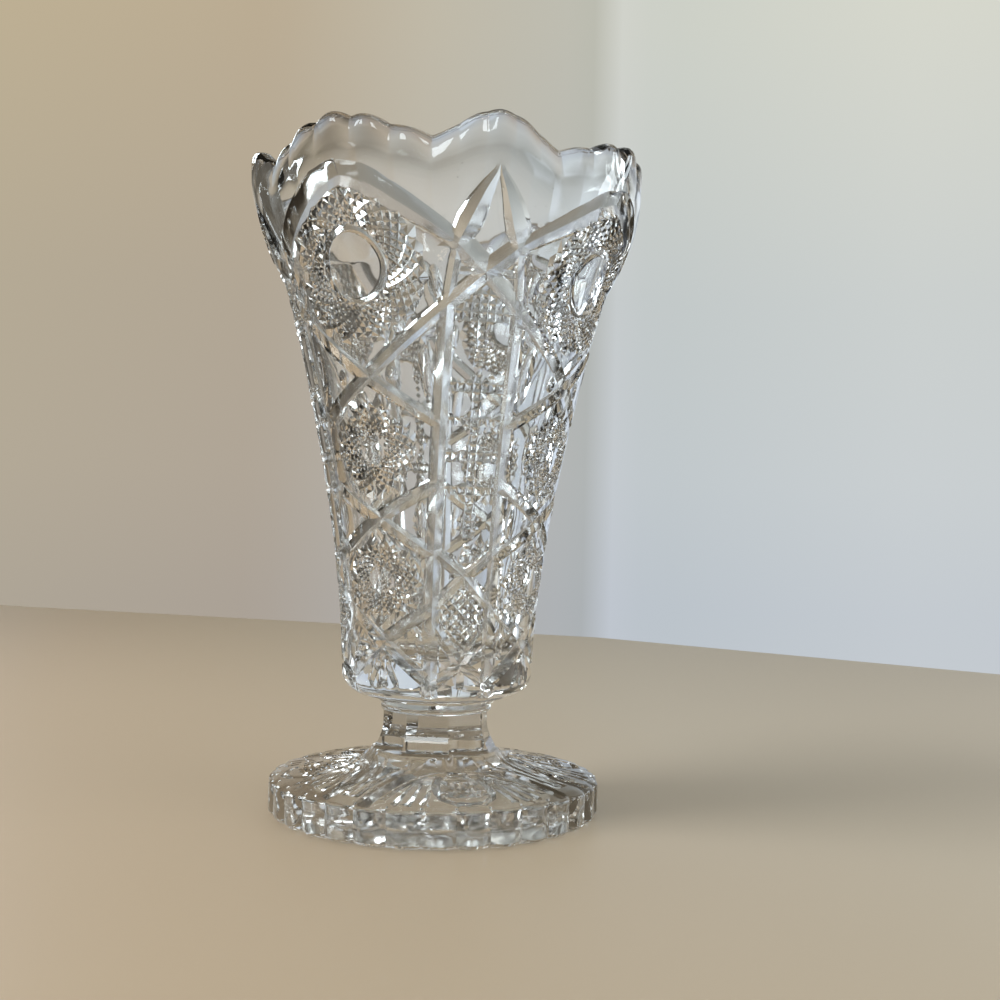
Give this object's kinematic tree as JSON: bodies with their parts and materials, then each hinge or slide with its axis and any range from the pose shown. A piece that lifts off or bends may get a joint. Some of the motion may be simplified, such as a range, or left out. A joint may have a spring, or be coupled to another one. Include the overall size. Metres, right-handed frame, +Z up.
{
  "type": "glass vase",
  "caption": "Footed pressed-glass vase: flared bowl with scalloped lip, V-groove arches, stars, buttons and bead columns, on a ringed collar, eight-sided stem and spreading foot with a padded edge.",
  "frame": {"origin": "centre of the foot's resting ring, on the plane that the vase stands on", "axes": "+Z up the vase's axis to the lip; -Y through the middle of one of the four bead panels, +X through the next, 90 degrees round"},
  "size_m": [0.0982, 0.0982, 0.1592],
  "materials": {
    "foot_glass": "clear, fire-polished, pressed relief on top",
    "stem_glass": "clear, fire-polished facets",
    "collar_glass": "clear, fire-polished rings",
    "bowl_glass": "clear, fire-polished, pressed relief outside, plain inside"
  },
  "bodies": {
    "root": {"foot": "foot_glass", "stem": "stem_glass", "collar": "collar_glass", "bowl": "bowl_glass"}
  },
  "joints": []
}
